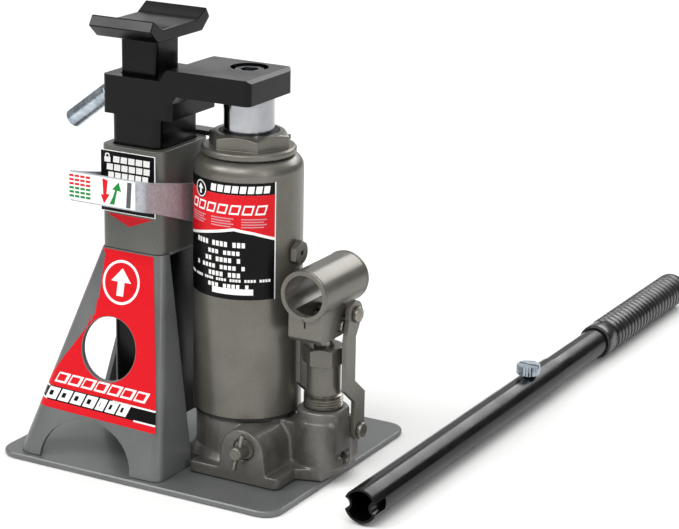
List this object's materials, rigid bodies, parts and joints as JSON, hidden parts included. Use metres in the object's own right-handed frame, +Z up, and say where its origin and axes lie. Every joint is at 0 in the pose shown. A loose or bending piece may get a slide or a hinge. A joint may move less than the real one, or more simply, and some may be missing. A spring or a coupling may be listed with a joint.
{
  "type": "car jack",
  "caption": "Bottle jack and jack stand on one base plate: ram, lift arm, telescoping post with saddle, lock bail, pump with link and a loose two-piece handle.",
  "frame": {"origin": "centre of the base plate's underside", "axes": "X along the plate's front edge from the column to the pump, Y to the back, Z up to the saddle"},
  "size_m": [0.2024, 0.407, 0.219],
  "materials": {
    "painted_steel": "grey paint over pressed steel sheet, satin",
    "warm_grey_paint": "warm grey gloss paint over steel",
    "painted_casting": "grey paint over a rough casting",
    "black_enamel": "gloss black enamel",
    "black_oxide": "black oxide",
    "zinc_plated_steel": "clear zinc plate",
    "polished_steel": "ground and hard chrome plated",
    "bare_steel": "plain steel",
    "nitrile": "matte",
    "grip_rubber": "matte ribbed"
  },
  "bodies": {
    "frame": {"base_plate": "painted_steel", "tower_front_panel": "painted_steel", "tower_rear_panel": "painted_steel", "guide_tube": "painted_steel", "tie_bracket": "painted_steel", "base_screw_1": "bare_steel", "base_screw_2": "bare_steel", "base_screw_3": "bare_steel", "base_screw_4": "bare_steel", "lock_ear_left": "painted_steel", "lock_ear_right": "painted_steel", "jack_base": "painted_casting", "reservoir_tube": "warm_grey_paint", "reservoir_seal": "nitrile", "cylinder_tube": "bare_steel", "cap_nut": "warm_grey_paint", "ram_wiper": "nitrile", "filler_plug": "warm_grey_paint", "release_ball": "bare_steel", "outlet_ball": "bare_steel", "inlet_ball": "bare_steel", "gallery_plug": "bare_steel", "pump_barrel": "warm_grey_paint", "plunger_seal": "nitrile", "link_bottom_pin": "bare_steel"},
    "lock": {"lock_bail": "zinc_plated_steel", "lock_shaft": "zinc_plated_steel", "lock_pawl": "bare_steel", "shaft_clip_left": "bare_steel", "shaft_clip_right": "bare_steel"},
    "lift": {"ram": "polished_steel", "piston_seal": "nitrile", "lift_arm": "black_enamel", "ram_bolt": "black_oxide", "outer_post": "black_enamel", "post_end_stop": "black_enamel"},
    "post": {"inner_post": "black_enamel", "post_shoe": "black_enamel", "saddle": "black_enamel"},
    "pin": {"height_pin": "zinc_plated_steel"},
    "valve": {"release_valve": "warm_grey_paint", "release_cross_pin": "bare_steel"},
    "links": {"link_left": "warm_grey_paint", "link_right": "warm_grey_paint", "link_top_pin": "bare_steel"},
    "socket": {"handle_socket": "warm_grey_paint", "plunger_pin": "bare_steel"},
    "plunger": {"pump_plunger": "bare_steel"},
    "handle": {"handle_lower_tube": "black_enamel"},
    "handle_end": {"handle_upper_tube": "black_enamel", "handle_grip": "grip_rubber"},
    "clamp_screw": {"thumb_screw": "zinc_plated_steel"}
  },
  "joints": [
    {"name": "ram_lift", "type": "slide", "parent": "frame", "child": "lift", "axis": [0, 0, 1], "range_m": [0, 0.1]},
    {"name": "post_extension", "type": "slide", "parent": "lift", "child": "post", "axis": [0, 0, 1], "range_m": [0, 0.1477]},
    {"name": "height_pin_slide", "type": "slide", "parent": "lift", "child": "pin", "axis": [1, 0, 0], "range_m": [0, 0.004]},
    {"name": "lock_swing", "type": "hinge", "parent": "frame", "child": "lock", "pos_m": [-0.0162, 0.008, 0.121], "axis": [1, 0, 0], "range_deg": [0, 13]},
    {"name": "pump_handle", "type": "hinge", "parent": "links", "child": "socket", "pos_m": [0.0715, -0.0038, 0.0832], "axis": [1, 0, 0], "range_deg": [-20, 18]},
    {"name": "link_rock", "type": "hinge", "parent": "frame", "child": "links", "pos_m": [0.0715, 0.002, 0.0235], "axis": [1, 0, 0], "range_deg": [-2.2, 2.2]},
    {"name": "plunger_slide", "type": "slide", "parent": "frame", "child": "plunger", "axis": [0, 0, 1], "range_m": [-0.00212, 0.00235]},
    {"name": "release_turn", "type": "hinge", "parent": "frame", "child": "valve", "pos_m": [0.0475, -0.045, 0.0205], "axis": [0, -1, 0], "continuous": true},
    {"name": "handle_lift", "type": "slide", "parent": "frame", "child": "handle", "axis": [0, 0, 1], "range_m": [0, 0.06]},
    {"name": "handle_pull", "type": "slide", "parent": "handle", "child": "handle_end", "axis": [0, 1, 0], "range_m": [0, 0.035]},
    {"name": "clamp_turn", "type": "hinge", "parent": "handle", "child": "clamp_screw", "pos_m": [0.1147, 0.131, 0.0215], "axis": [0, 0, 1], "continuous": true}
  ],
  "couplings": [
    {"joint": "link_rock", "follows": "plunger_slide", "rad_per_m": -13.541},
    {"joint": "pump_handle", "follows": "plunger_slide", "rad_per_m": -148.15}
  ]
}
